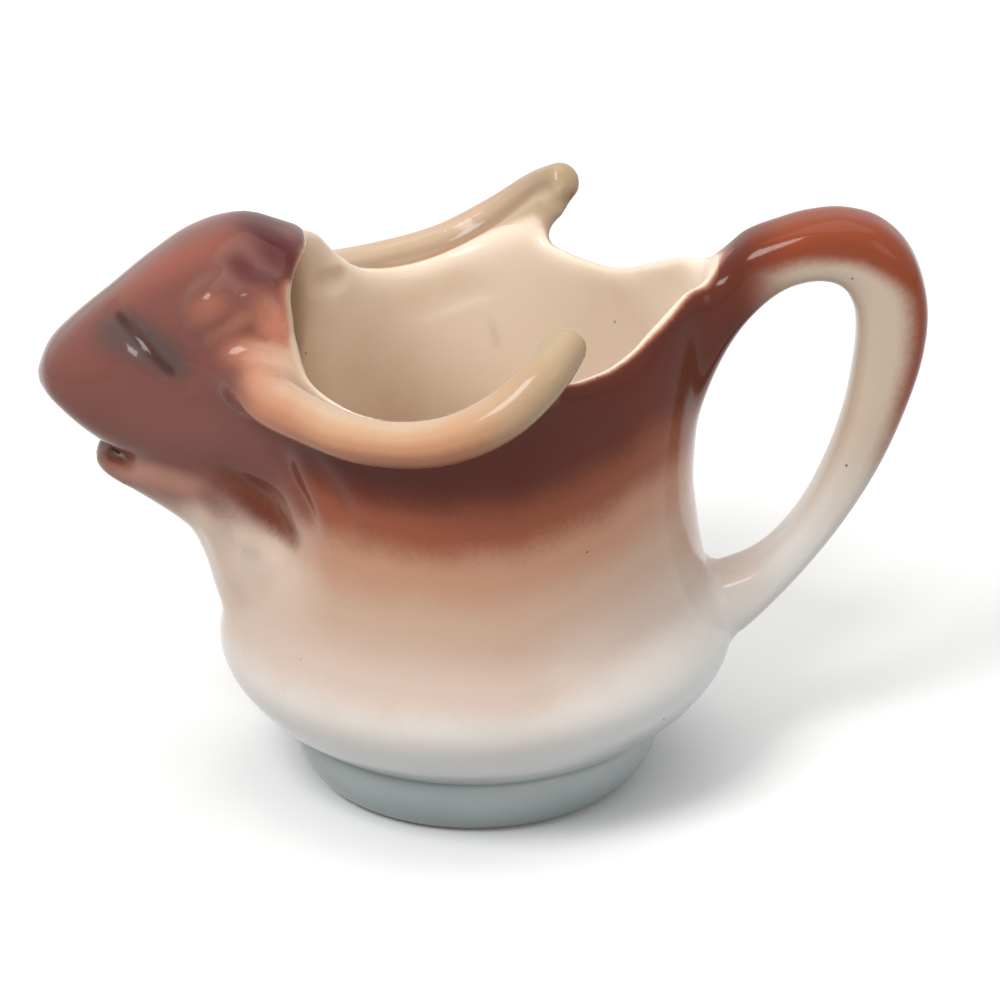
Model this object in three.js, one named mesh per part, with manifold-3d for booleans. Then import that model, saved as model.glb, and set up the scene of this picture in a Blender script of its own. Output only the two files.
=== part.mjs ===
// Ox creamer: a round porcelain bowl on a foot ring, with a hollow ox head as its spout,
// two horns laid along the rim and a loop handle at the back.
// Millimetres, +Z up, the ox looks towards -X, origin under the middle of the overall length.
import * as THREE from 'three';
import { mergeVertices } from 'three/addons/utils/BufferGeometryUtils.js';
import Module from 'manifold-3d';

const wasm = await Module();
wasm.setup();

// Joints and walls
const slipGap = 0.3;
const wall = 3;
const floorThickness = 4;

// Foot ring
const footRadius = 25.8;
const footBulge = 31;
const footBulgeHeight = 6;
const footTopRadius = 31.6;
const footHeight = 11;
const footWidth = 4.5;
const footEdge = 0.8;

// Bowl, radii and heights of its outline above the foot
const turnRadius = 39.2;
const turnHeight = 17;
const bellyRadius = 44;
const bellyHeight = 26;
const shoulderRadius = 39.4;
const shoulderHeight = 37.5;
const waistRadius = 37.2;
const waistHeight = 52;
const neckRadius = 36.4;
const neckHeight = 65;
const rimRadius = 35.5;

// Rim: its height over the front and how far it climbs above that, at places along X
const rimFrontHeight = 75.9;
const rimClimb = {
  front: { x: -14, rise: 0 },
  hornTop: { x: 10, rise: 7.3 },
  saddle: { x: 22, rise: 6 },
  handle: { x: 39, rise: 13.8 },
};
const hornFlare = 2;

// Rim drawn out to a pouring-lip shape at the handle: longer, narrower, and only near the top
const rimReach = 0.19;
const rimPinch = 0.56;
const rimPinchShare = 0.12;
const rimPinchCurve = 2.8;
const rimBlend = 1.6;

// Skull: a row of cross-sections along an axis that dips towards the nose. It starts inside the rim
const skullInset = 9.5;
const skullRise = 3.1;
const skullDip = THREE.MathUtils.degToRad(10);
const skullSections = {
  nape: { along: -13, top: 14, bottom: -30, half: 19 },
  poll: { along: -1, top: 18.6, bottom: -30, half: 19.8 },
  crown: { along: 8, top: 23, bottom: -29, half: 20.2 },
  brow: { along: 17, top: 22.3, bottom: -25.5, half: 19.2 },
  cheek: { along: 25, top: 18.6, bottom: -21.5, half: 17 },
  bridge: { along: 33, top: 14, bottom: -15.2, half: 14.4 },
  muzzle: { along: 40, top: 9.9, bottom: -8.2, half: 12 },
  lip: { along: 44.4, top: 6.6, bottom: -2.2, half: 8.4 },
  nose: { along: 46.7, top: 3.2, bottom: 0.8, half: 2.5 },
};
const skullRoundness = 2.3;

// Throat and lower jaw: level cross-sections. The lower ones are placed above the widest place of
// the belly, the upper ones below the front of the rim
const throatBehind = 4;
const throatLower = {
  root: { rise: -1, length: 18, half: 14 },
  dewlap: { rise: 7, length: 21.8, half: 16.5 },
};
const throatUpper = {
  throat: { drop: 33.9, length: 24.1, half: 18 },
  jaw: { drop: 27.4, length: 27.9, half: 18.6 },
  chin: { drop: 21.9, length: 35.8, half: 18.2 },
  lip: { drop: 18.3, length: 41.2, half: 17 },
  lipTop: { drop: 15.9, length: 40.6, half: 15.8 },
};
const throatRoundness = 2.5;

// Mouth, eyes and nostrils, placed from the start of the skull's axis
const mouthPlace = new THREE.Vector3(-38, 0, -18.2);
const mouthSize = new THREE.Vector3(8, 6.5, 2.2);
const eyePlace = new THREE.Vector3(-16.6, 14.6, 12.4);
const eyeSize = new THREE.Vector3(2.4, 2.8, 4.4);
const lidSize = new THREE.Vector3(1.3, 2.3, 4.8);
const lidAhead = 3.3;
const eyeLean = THREE.MathUtils.degToRad(33);
const nostrilTop = new THREE.Vector3(-31.6, 9.4, 7);
const nostrilEnd = new THREE.Vector3(-24, 16.2, 1.4);
const nostrilRadius = 1.5;

// Opening behind the head: where the head's back edge stands, its lean and its rounded lower corner
const hoodAhead = 3.6;
const hoodLean = 6;
const openingHeight = 54;
const openingCorner = 6;

// Horns: sections along the rim from root to tip, by bearing round the bowl in degrees, distance
// outside the rim, rise above its front and radius
const hornSections = {
  root: { bearing: 163.7, out: 7.2, rise: 4.6, radius: 4.4 },
  temple: { bearing: 153, out: 6.4, rise: 3.9, radius: 4.6 },
  neck: { bearing: 142.5, out: 5.9, rise: 2.9, radius: 4.5 },
  front: { bearing: 132.3, out: 5.3, rise: 1.9, radius: 4.2 },
  low: { bearing: 114.1, out: 6.1, rise: 0.9, radius: 3.9 },
  side: { bearing: 97.2, out: 7, rise: 2.5, radius: 4 },
  sweep: { bearing: 84, out: 7.9, rise: 7.2, radius: 4 },
  upturn: { bearing: 73, out: 6.5, rise: 13.4, radius: 3.5 },
  tip: { bearing: 62.3, out: 2.8, rise: 18.4, radius: 2.7 },
};
const hornTipShare = 0.955;
const hornWebRadius = 1.8;
const hornWebShare = 0.9;
const hornFadeShare = 0.07;

// Handle: inner and outer line of the loop and its breadth. The upper part is placed above the
// front of the rim, the lower part above the widest place of the belly
const handleUpper = {
  rimRoot: { innerX: 31.5, innerRise: -23.9, outerX: 31.5, outerRise: 5.6, broad: 20 },
  climb: { innerX: 40.2, innerRise: -3.5, outerX: 41.8, outerRise: 18.1, broad: 15 },
  shoulder: { innerX: 47.4, innerRise: 8.7, outerX: 51, outerRise: 23.2, broad: 13.2 },
  top: { innerX: 57.2, innerRise: 13.8, outerX: 62, outerRise: 25, broad: 13 },
  turn: { innerX: 63.5, innerRise: 9.1, outerX: 73.4, outerRise: 17.9, broad: 12.4 },
  back: { innerX: 63.7, innerRise: -1.5, outerX: 75.9, outerRise: 0.1, broad: 11.5 },
};
const handleLower = {
  fall: { innerX: 62.2, innerRise: 39.6, outerX: 72.8, outerRise: 39.2, broad: 11.2 },
  sweep: { innerX: 59.3, innerRise: 30.2, outerX: 68.4, outerRise: 28.8, broad: 11 },
  heel: { innerX: 54.8, innerRise: 20.8, outerX: 62.3, outerRise: 18.4, broad: 11.2 },
  tuck: { innerX: 48.4, innerRise: 13.8, outerX: 54.4, outerRise: 8.9, broad: 12 },
  flare: { innerX: 41.5, innerRise: 10.6, outerX: 46.7, outerRise: 0.5, broad: 13 },
  bellyRoot: { innerX: 32, innerRise: 9, outerX: 32, outerRise: -12, broad: 15.5 },
};
const handleRoundness = 3;

// Facets round a section and steps along a form
const bowlFacets = 64;
const bowlSteps = 18;
const wallSteps = 14;
const lipSteps = 4;
const cornerSteps = 8;
const headFacets = 32;
const skullSteps = 24;
const throatSteps = 18;
const hollowFacets = 20;
const hollowSteps = 14;
const ballFacets = 16;
const hornFacets = 16;
const hornSteps = 26;
const tipSteps = 4;
const handleFacets = 20;
const handleSteps = 36;
const leastSize = 1;
const weldDistance = 1e-4;

// A closed solid through rings of equally many points, with fan-shaped ends
function loft(rings) {
  const count = rings[0].length;
  const positions = rings.flat().flatMap((p) => p.toArray());
  const middle = (ring) => ring.reduce((sum, p) => sum.add(p), new THREE.Vector3()).divideScalar(count);
  const lastRing = rings.length - 1;
  positions.push(...middle(rings[0]).toArray(), ...middle(rings[lastRing]).toArray());
  const startTip = rings.length * count;
  const faces = [];
  for (let i = 0; i < count; i++) {
    const next = (i + 1) % count;
    faces.push(startTip, next, i, startTip + 1, lastRing * count + i, lastRing * count + next);
    for (let k = 0; k < lastRing; k++) {
      const low = k * count;
      const high = low + count;
      faces.push(low + i, low + next, high + next, low + i, high + next, high + i);
    }
  }
  const geometry = new THREE.BufferGeometry();
  geometry.setAttribute('position', new THREE.Float32BufferAttribute(positions, 3));
  geometry.setIndex(faces);
  return geometry;
}

// A geometry as a solid that can be joined and cut
function solid(geometry) {
  geometry.deleteAttribute('normal');
  geometry.deleteAttribute('uv');
  const merged = mergeVertices(geometry, weldDistance);
  const vertProperties = new Float32Array(merged.attributes.position.array);
  const triVerts = new Uint32Array(merged.index.array);
  return new wasm.Manifold(new wasm.Mesh({ numProp: 3, vertProperties, triVerts }));
}

// A finished solid as a named mesh
function piece(name, body, look) {
  const { vertProperties, triVerts } = body.getMesh();
  const geometry = new THREE.BufferGeometry();
  geometry.setAttribute('position', new THREE.Float32BufferAttribute(vertProperties, 3));
  geometry.setIndex([...triVerts]);
  geometry.computeVertexNormals();
  const mesh = new THREE.Mesh(geometry, new THREE.MeshStandardMaterial({ metalness: 0, ...look }));
  mesh.name = name;
  return mesh;
}

// Evenly spaced values from start to end, both included
function steps(start, end, count) {
  return Array.from({ length: count + 1 }, (_, i) => start + ((end - start) * i) / count);
}

// One measure of a row of sections, as a smooth curve over the row
function measure(sections, across, along) {
  const points = Object.values(sections).map((s) => new THREE.Vector2(s[along], s[across]));
  return new THREE.SplineCurve(points);
}

// A point on a rounded-square curve at an angle
function roundSquare(angle, roundness) {
  const bend = (v) => Math.sign(v) * Math.abs(v) ** (2 / roundness);
  return new THREE.Vector2(bend(Math.cos(angle)), bend(Math.sin(angle)));
}

// Bowl

const baseRadius = footTopRadius;
const baseHeight = footHeight + slipGap;
const lipRadius = wall / 2;
const bowlOutline = new THREE.SplineCurve([
  new THREE.Vector2(baseRadius, baseHeight),
  new THREE.Vector2(turnRadius, turnHeight),
  new THREE.Vector2(bellyRadius, bellyHeight),
  new THREE.Vector2(shoulderRadius, shoulderHeight),
  new THREE.Vector2(waistRadius, waistHeight),
  new THREE.Vector2(neckRadius, neckHeight),
  new THREE.Vector2(rimRadius, rimFrontHeight),
]);

// Height of the rim at a place along X
function rimHeight(x) {
  const places = Object.values(rimClimb);
  let height = rimFrontHeight + places[0].rise;
  for (let i = 1; i < places.length; i++) {
    const share = THREE.MathUtils.smoothstep(x, places[i - 1].x, places[i].x);
    height += (places[i].rise - places[i - 1].rise) * share;
  }
  return height;
}

// A point of the bowl: round at the waist and below, drawn out towards the handle at the rim
function bowlPoint(angle, radius, height, lift) {
  const share = THREE.MathUtils.clamp((height - waistHeight) / (rimFrontHeight - waistHeight), 0, 1);
  const shape = share ** rimBlend;
  const back = Math.max(0, Math.cos(angle));
  const reach = rimReach * back ** 2;
  const pinch = (rimPinch * back ** rimPinchCurve) / (back + rimPinchShare);
  const climb = rimHeight(rimRadius * Math.cos(angle) * (1 + reach)) - rimFrontHeight;
  const r = radius + hornFlare * Math.sin(angle) ** 4 * shape;
  return new THREE.Vector3(
    r * Math.cos(angle) * (1 + reach * shape),
    r * Math.sin(angle) * (1 - pinch * shape),
    height + climb * share + lift,
  );
}

function bowlRing(radius, height, lift = 0) {
  const angles = steps(0, 2 * Math.PI, bowlFacets).slice(0, -1);
  return angles.map((angle) => bowlPoint(angle, radius, height, lift));
}

// Rings up the outside of the bowl, moved outwards by a clearance
function bowlOutside(clearance) {
  return steps(0, 1, bowlSteps).map((t) => {
    const point = bowlOutline.getPoint(t);
    return bowlRing(point.x + clearance, point.y);
  });
}

// One ring of the rounded lip, turned from the outside over to the inside
function lipRing(turn, clearance) {
  const round = lipRadius + clearance;
  return bowlRing(rimRadius - lipRadius + round * Math.cos(turn), rimFrontHeight, round * Math.sin(turn));
}

// The bowl as a full solid, for cutting the pieces that are joined to it, with room above its rim
function bowlFull(clearance, headroom = 0) {
  const base = bowlRing(baseRadius + clearance, baseHeight, -clearance);
  const lip = headroom > 0
    ? [bowlRing(rimRadius + clearance, rimFrontHeight, headroom)]
    : steps(0, Math.PI / 2, lipSteps / 2).slice(1).map((turn) => lipRing(turn, clearance));
  return solid(loft([base, ...bowlOutside(clearance), ...lip]));
}

function vesselBody() {
  const lip = steps(0, Math.PI, lipSteps).slice(1, -1).map((turn) => lipRing(turn, 0));
  const floor = baseHeight + floorThickness;
  const inside = [];
  for (const t of steps(1, 0, wallSteps)) {
    const point = bowlOutline.getPoint(t);
    const tangent = bowlOutline.getTangent(t);
    const height = point.y + wall * tangent.x;
    if (height > floor + leastSize) inside.push(bowlRing(point.x - wall * tangent.y, height));
  }
  inside.push(bowlRing(baseRadius - wall, floor));
  return solid(loft([...bowlOutside(0), ...lip, ...inside]));
}

// Foot ring

function footRing() {
  const inner = footRadius - footWidth;
  const side = new THREE.QuadraticBezierCurve(
    new THREE.Vector2(footRadius, 0),
    new THREE.Vector2(footBulge, 0),
    new THREE.Vector2(footBulge, footBulgeHeight),
  );
  const outline = [
    new THREE.Vector2(inner, footEdge),
    new THREE.Vector2(inner + footEdge, 0),
    ...side.getPoints(lipSteps),
    new THREE.Vector2(footTopRadius, footHeight),
    new THREE.Vector2(inner, footHeight),
    new THREE.Vector2(inner, footEdge),
  ];
  return solid(new THREE.LatheGeometry(outline, bowlFacets).rotateX(Math.PI / 2));
}

// Head

const skullStart = new THREE.Vector3(skullInset - rimRadius, 0, rimFrontHeight + skullRise);
const throatCentre = skullStart.x + throatBehind;
const hoodEdge = skullStart.x - hoodAhead;
const openingTop = rimFrontHeight + openingHeight;

// A place on the head, on the left (-1) or the right (1) side
function onHead(place, side) {
  return place.clone().multiply(new THREE.Vector3(1, side, 1)).add(skullStart);
}

// The skull, drawn in by a wall thickness for its hollow
function skull(inset) {
  const top = measure(skullSections, 'top', 'along');
  const bottom = measure(skullSections, 'bottom', 'along');
  const half = measure(skullSections, 'half', 'along');
  const forward = new THREE.Vector3(-Math.cos(skullDip), 0, -Math.sin(skullDip));
  const up = new THREE.Vector3(-Math.sin(skullDip), 0, Math.cos(skullDip));
  const rings = [];
  const facets = inset > 0 ? hollowFacets : headFacets;
  for (const t of steps(0, 1, inset > 0 ? hollowSteps : skullSteps)) {
    const width = half.getPoint(t).y - inset;
    const high = top.getPoint(t).y - inset;
    const low = bottom.getPoint(t).y + inset;
    if (width < leastSize || high - low < leastSize) break;
    const along = half.getPoint(t).x;
    const ring = steps(0, 2 * Math.PI, facets).slice(0, -1).map((angle) => {
      const p = roundSquare(angle, skullRoundness);
      const middle = (high + low) / 2;
      return new THREE.Vector3(0, -p.x * width, 0)
        .addScaledVector(forward, along)
        .addScaledVector(up, middle + (p.y * (high - low)) / 2)
        .add(skullStart);
    });
    rings.push(ring);
  }
  return solid(loft(rings));
}

// The throat and lower jaw, drawn in by a wall thickness for their hollow
function throat(inset) {
  const lower = Object.values(throatLower).map((s) => ({ ...s, height: bellyHeight + s.rise }));
  const upper = Object.values(throatUpper).map((s) => ({ ...s, height: rimFrontHeight - s.drop }));
  const length = measure([...lower, ...upper], 'length', 'height');
  const half = measure([...lower, ...upper], 'half', 'height');
  const facets = inset > 0 ? hollowFacets : headFacets;
  const rings = steps(0, 1, inset > 0 ? hollowSteps : throatSteps).map((t) => {
    const height = length.getPoint(t).x;
    const reach = length.getPoint(t).y - inset;
    const width = half.getPoint(t).y - inset;
    return steps(0, 2 * Math.PI, facets).slice(0, -1).map((angle) => {
      const p = roundSquare(angle, throatRoundness);
      return new THREE.Vector3(throatCentre + reach * p.x, width * p.y, height);
    });
  });
  return solid(loft(rings));
}

// A ball stretched to a size, its long way turned along a direction, and put in place
function stretchedBall(size, centre, along) {
  const upright = new THREE.Vector3(0, 0, 1);
  const turn = new THREE.Quaternion().setFromUnitVectors(upright, along.clone().normalize());
  const ball = new THREE.SphereGeometry(1, ballFacets, ballFacets / 2);
  return solid(ball.applyMatrix4(new THREE.Matrix4().compose(centre, turn, size)));
}

// Everything above the rim and behind the head's back edge, as cut by the open top
function openTop() {
  const shape = new THREE.Shape();
  shape.moveTo(hoodEdge + hoodLean, openingTop);
  shape.lineTo(hoodEdge, rimFrontHeight + openingCorner);
  shape.quadraticCurveTo(hoodEdge, rimFrontHeight, hoodEdge + openingCorner, rimFrontHeight);
  shape.lineTo(2 * rimRadius, rimFrontHeight);
  shape.lineTo(2 * rimRadius, openingTop);
  const width = 4 * rimRadius;
  const options = { depth: width, bevelEnabled: false, curveSegments: cornerSteps };
  const cut = new THREE.ExtrudeGeometry(shape, options);
  return solid(cut.rotateX(Math.PI / 2).translate(0, width / 2, 0));
}

function headHollow() {
  return skull(wall).add(throat(wall));
}

// One eye with the lid ahead of it
function eye(side) {
  const along = new THREE.Vector3(Math.sin(eyeLean), 0, Math.cos(eyeLean));
  const centre = onHead(eyePlace, side);
  const lidCentre = centre.clone().add(new THREE.Vector3(-lidAhead, 0, 0));
  return stretchedBall(eyeSize, centre, along).add(stretchedBall(lidSize, lidCentre, along));
}

// The slanting slit of one nostril
function nostril(side) {
  const line = new THREE.Line3(onHead(nostrilTop, side), onHead(nostrilEnd, side));
  const along = line.delta(new THREE.Vector3());
  const size = new THREE.Vector3(nostrilRadius, nostrilRadius, along.length() / 2);
  return stretchedBall(size, line.getCenter(new THREE.Vector3()), along);
}

function headSpout() {
  let head = skull(0).add(throat(0));
  for (const side of [-1, 1]) {
    head = head.add(eye(side)).subtract(nostril(side));
  }
  return head
    .subtract(headHollow())
    .subtract(stretchedBall(mouthSize, onHead(mouthPlace, 1), new THREE.Vector3(0, 0, 1)))
    .subtract(openTop())
    .subtract(bowlFull(slipGap));
}

// Horns

// One section of a horn: round, drawn out to the rim by a web that ends before the tip
function hornRing(path, t, radius) {
  const up = new THREE.Vector3(0, 0, 1);
  const centre = path.getPoint(t);
  const tangent = path.getTangent(t);
  const across = new THREE.Vector3().crossVectors(tangent, up).normalize();
  const lift = new THREE.Vector3().crossVectors(across, tangent);
  const bearing = Math.atan2(centre.y, centre.x);
  const toRim = bowlPoint(bearing, rimRadius - lipRadius, rimFrontHeight, 0).sub(centre);
  const webShare = 1 - THREE.MathUtils.smoothstep(t, hornWebShare, hornWebShare + hornFadeShare);
  const web = new THREE.Vector2(toRim.dot(across), toRim.dot(lift)).multiplyScalar(webShare);
  const webRadius = Math.min(hornWebRadius, radius);
  return steps(0, 2 * Math.PI, hornFacets).slice(0, -1).map((angle) => {
    const way = new THREE.Vector2(-Math.cos(angle), Math.sin(angle));
    const onWeb = web.dot(way) + webRadius > radius;
    const point = way.clone().multiplyScalar(onWeb ? webRadius : radius);
    if (onWeb) point.add(web);
    return centre.clone().addScaledVector(across, point.x).addScaledVector(lift, point.y);
  });
}

function horn(side) {
  const rows = Object.values(hornSections);
  const path = new THREE.CatmullRomCurve3(rows.map((s) => {
    const bearing = THREE.MathUtils.degToRad(s.bearing);
    const distance = rimRadius + s.out;
    const y = side * distance * Math.sin(bearing);
    return new THREE.Vector3(distance * Math.cos(bearing), y, rimFrontHeight + s.rise);
  }));
  const radius = new THREE.SplineCurve(rows.map((s, i) => new THREE.Vector2(i, s.radius)));
  const stem = steps(0, hornTipShare, hornSteps).map((t) => hornRing(path, t, radius.getPoint(t).y));
  const tip = steps(0, Math.PI / 2, tipSteps).slice(1, -1).map((turn) => {
    const t = THREE.MathUtils.lerp(hornTipShare, 1, Math.sin(turn));
    return hornRing(path, t, radius.getPoint(t).y * Math.cos(turn));
  });
  const whole = solid(loft([...stem, ...tip]));
  return whole.subtract(bowlFull(slipGap)).subtract(skull(-slipGap)).subtract(headHollow());
}

// Handle

function handle() {
  const upper = Object.values(handleUpper).map((section) => ({ ...section, base: rimFrontHeight }));
  const lower = Object.values(handleLower).map((section) => ({ ...section, base: bellyHeight }));
  const rows = [...upper, ...lower];
  const rail = (side) => {
    const points = rows.map((s) => new THREE.Vector3(s[side + 'X'], 0, s.base + s[side + 'Rise']));
    return new THREE.CatmullRomCurve3(points);
  };
  const inner = rail('inner');
  const outer = rail('outer');
  const broad = new THREE.SplineCurve(rows.map((s, i) => new THREE.Vector2(i, s.broad)));
  const rings = steps(0, 1, handleSteps).map((t) => {
    const line = new THREE.Line3(inner.getPoint(t), outer.getPoint(t));
    const centre = line.getCenter(new THREE.Vector3());
    const across = line.delta(new THREE.Vector3());
    return steps(0, 2 * Math.PI, handleFacets).slice(0, -1).map((angle) => {
      const p = roundSquare(angle, handleRoundness);
      return new THREE.Vector3(0, (-p.y * broad.getPoint(t).y) / 2, 0)
        .addScaledVector(across, p.x / 2)
        .add(centre);
    });
  });
  return solid(loft(rings)).subtract(bowlFull(slipGap, openingHeight));
}

const glaze = { roughness: 0.15 };
const group = new THREE.Group();
group.add(
  piece('vessel_body', vesselBody().subtract(headHollow()), { color: 0xdcbfa8, ...glaze }),
  piece('foot_ring', footRing(), { color: 0xb9c4cb, ...glaze }),
  piece('head_spout', headSpout(), { color: 0x9c4f3c, ...glaze }),
  piece('left_horn', horn(-1), { color: 0xeed9a8, ...glaze }),
  piece('right_horn', horn(1), { color: 0xeed9a8, ...glaze }),
  piece('handle', handle(), { color: 0xc98a6c, ...glaze }),
);

// The middle of the overall length over the origin
const box = new THREE.Box3().setFromObject(group);
group.position.x = -(box.min.x + box.max.x) / 2;

export default group;
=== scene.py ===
import math

import bmesh
import bpy
from mathutils import Matrix, Vector
from mathutils.bvhtree import BVHTree
from mathutils.kdtree import KDTree


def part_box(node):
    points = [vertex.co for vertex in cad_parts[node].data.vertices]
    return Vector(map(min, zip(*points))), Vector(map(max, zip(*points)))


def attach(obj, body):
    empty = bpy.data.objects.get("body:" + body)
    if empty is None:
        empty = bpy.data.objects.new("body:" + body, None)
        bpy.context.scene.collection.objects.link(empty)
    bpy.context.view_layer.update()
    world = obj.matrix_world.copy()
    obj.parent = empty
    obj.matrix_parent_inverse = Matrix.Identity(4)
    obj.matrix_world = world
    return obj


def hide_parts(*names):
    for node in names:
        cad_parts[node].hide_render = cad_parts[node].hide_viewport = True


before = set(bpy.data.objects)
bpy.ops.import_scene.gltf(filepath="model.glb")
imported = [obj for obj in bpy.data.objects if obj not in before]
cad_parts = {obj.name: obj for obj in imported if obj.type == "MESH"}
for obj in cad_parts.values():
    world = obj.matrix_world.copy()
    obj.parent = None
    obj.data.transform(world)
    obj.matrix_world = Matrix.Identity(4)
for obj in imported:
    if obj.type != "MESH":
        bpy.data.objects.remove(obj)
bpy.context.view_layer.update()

# Sizes are in millimetres from the bowl's axis on the table; toFrame puts a finished mesh in the frame
mm = 0.001
weld = 1e-4
footLow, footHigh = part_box("foot_ring")
axisX = (footLow.x + footHigh.x) / 2
toFrame = Matrix.Translation((axisX, 0, 0)) @ Matrix.Scale(mm, 4)
toBench = toFrame.inverted()
print("frame loaded, bowl axis at", round(axisX / mm, 2), "mm")


# Small helpers
def clamp(value, low=0.0, high=1.0):
    return max(low, min(high, value))


def ease(value, start, end):
    share = clamp((value - start) / (end - start))
    return share * share * (3 - 2 * share)


def mix(a, b, share):
    return a + (b - a) * share


def through(points, t):  # a smooth curve through a row of numbers or vectors, t from 0 to 1
    last = len(points) - 1
    place = clamp(t) * last
    i = min(int(place), last - 1)
    w = place - i
    before, here = points[max(i - 1, 0)], points[i]
    there, after = points[i + 1], points[min(i + 2, last)]
    leave, arrive = (there - before) * 0.5, (after - here) * 0.5
    bend = (here - there) * 2 + leave + arrive
    swing = (there - here) * 3 - leave * 2 - arrive
    return bend * w ** 3 + swing * w ** 2 + leave * w + here


def heightAt(points, x):  # a smooth height over x through a few x, height pairs
    last = len(points) - 1
    x = clamp(x, points[0][0], points[last][0])
    i = max(n for n in range(last) if points[n][0] <= x)
    (x0, z0), (x1, z1) = points[i], points[i + 1]
    before, after = points[max(i - 1, 0)], points[min(i + 2, last)]
    leave = (z1 - before[1]) / (x1 - before[0]) * (x1 - x0)
    arrive = (after[1] - z0) / (after[0] - x0) * (x1 - x0)
    w = (x - x0) / (x1 - x0)
    bend, swing = (z0 - z1) * 2 + leave + arrive, (z1 - z0) * 3 - leave * 2 - arrive
    return bend * w ** 3 + swing * w ** 2 + leave * w + z0


def wayAlong(points, t):
    return (through(points, t + 0.005) - through(points, t - 0.005)).normalized()


def roundSquare(turn, squareness):
    c, s = math.cos(turn), math.sin(turn)
    power = 2 / squareness
    return math.copysign(abs(c) ** power, c), math.copysign(abs(s) ** power, s)


def vectors(*points):
    return [Vector(p) for p in points]


def mirrored(point, side):
    return Vector((point[0], point[1] * side, point[2]))


def rolled(around, steps, shape):  # a sheet rolled into a closed form; shape(turn, t) places each point
    bm = bmesh.new()
    bmesh.ops.create_grid(bm, x_segments=around, y_segments=steps, size=0.5)
    for v in bm.verts:
        v.co = shape((v.co.x + 0.5) * math.tau, v.co.y + 0.5)
    bmesh.ops.remove_doubles(bm, verts=bm.verts, dist=weld)
    bmesh.ops.holes_fill(bm, edges=bm.edges, sides=0)
    bmesh.ops.recalc_face_normals(bm, faces=bm.faces)
    return bm


def ball(size, centre, along=Vector((0, 0, 1))):
    turn = Vector((0, 0, 1)).rotation_difference(along).to_matrix().to_4x4()
    place = Matrix.Translation(centre) @ turn @ Matrix.Diagonal(Vector(size).to_4d())
    bm = bmesh.new()
    bmesh.ops.create_icosphere(bm, subdivisions=5, radius=1, matrix=place)
    return bm


def toObject(name, bm):
    bmesh.ops.transform(bm, matrix=toFrame, verts=bm.verts)
    mesh = bpy.data.meshes.new(name)
    bm.to_mesh(mesh)
    bm.free()
    obj = bpy.data.objects.new(name, mesh)
    bpy.context.scene.collection.objects.link(obj)
    return obj


def duplicate(obj, name):
    copy = bpy.data.objects.new(name, obj.data.copy())
    bpy.context.scene.collection.objects.link(copy)
    return copy


def bake(obj):  # what the modifiers make becomes the mesh
    bpy.context.view_layer.update()
    depsgraph = bpy.context.evaluated_depsgraph_get()
    made = bpy.data.meshes.new_from_object(obj.evaluated_get(depsgraph))
    obj.modifiers.clear()
    old, obj.data = obj.data, made
    bpy.data.meshes.remove(old)
    return obj


def modify(obj, kind, **settings):
    modifier = obj.modifiers.new(kind.title(), kind)
    for key, value in settings.items():
        setattr(modifier, key, value)
    return modifier


def carve(base, operation, *tools):
    for tool in tools:
        modify(base, "BOOLEAN", object=tool, solver="MANIFOLD", operation=operation)
    return bake(base)


def discard(*objects):
    for obj in objects:
        bpy.data.objects.remove(obj)


def surfaceTree(obj):
    mesh = obj.data
    return BVHTree.FromPolygons([v.co for v in mesh.vertices], [p.vertices for p in mesh.polygons])


def gapTo(tree, co, reach):  # distance to a surface in millimetres, up to reach
    distance = tree.find_nearest(co, reach * mm)[3]
    return reach if distance is None else distance / mm


# Bowl
bowl = {
    "outline": vectors((31.6, 11), (39.2, 17), (44, 26), (39.4, 37.5), (37.2, 52), (36.4, 65), (35.5, 75.5)),
    "waist": 52,
    "wall": 3,
    "floor": 15.3,
    "rimFront": 75.5,
    "rim": ((-38, 91), (-33, 90.2), (-31, 88.2), (-29.1, 84.4), (-27.5, 81.8), (-24.5, 79.4), (-21, 78), (-17.5, 77.3),
            (-14, 76.8), (-7, 77.5), (0, 80), (6, 82.2), (10.5, 83), (15, 82.2), (21, 81.8), (26.5, 82.7),
            (31, 85), (35, 87.6), (38.5, 89.4), (43, 90)),
    "rimLean": 0.17,  # the collar stands further back on the far side
    "leanSpan": (-8, -22),
    "hornFlare": 2,
    "reach": 0.19,  # the rim draws out to the handle
    "pinch": 0.56,  # and narrows towards it
    "pinchStart": 0.12,
    "pinchPower": 2.8,
    "blend": 1.6,
    "hollowLift": 5,  # how far the hollow goes on above the rim
    "headX": -20,
    "headTop": 92,  # in the head the bowl's hollow reaches no higher than this
    "tuck": 9,  # the closed form's top folds this far down inside the rim
    "around": 256,
    "steps": 170,
}


def bowlPoint(turn, radius, height):
    rimRadius = bowl["outline"][-1][0]
    share = clamp((height - bowl["waist"]) / (bowl["rimFront"] - bowl["waist"]))
    shape = share ** bowl["blend"]
    back = max(0, math.cos(turn))
    reach = bowl["reach"] * back ** 2
    pinch = bowl["pinch"] * back ** bowl["pinchPower"] / (back + bowl["pinchStart"])
    along = rimRadius * math.cos(turn) * (1 + reach)
    lean = bowl["rimLean"] * rimRadius * math.sin(turn) * ease(along, *bowl["leanSpan"])
    climb = heightAt(bowl["rim"], along - lean) - bowl["rimFront"]
    r = radius + bowl["hornFlare"] * math.sin(turn) ** 4 * shape
    return Vector((
        r * math.cos(turn) * (1 + reach * shape),
        r * math.sin(turn) * (1 - pinch * shape),
        height + climb * share,
    ))


def bowlSkin(turn, s):  # outside of the bowl, s from the foot to the rim
    radius, height = through(bowl["outline"], s)
    return bowlPoint(turn, radius, height)


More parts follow.
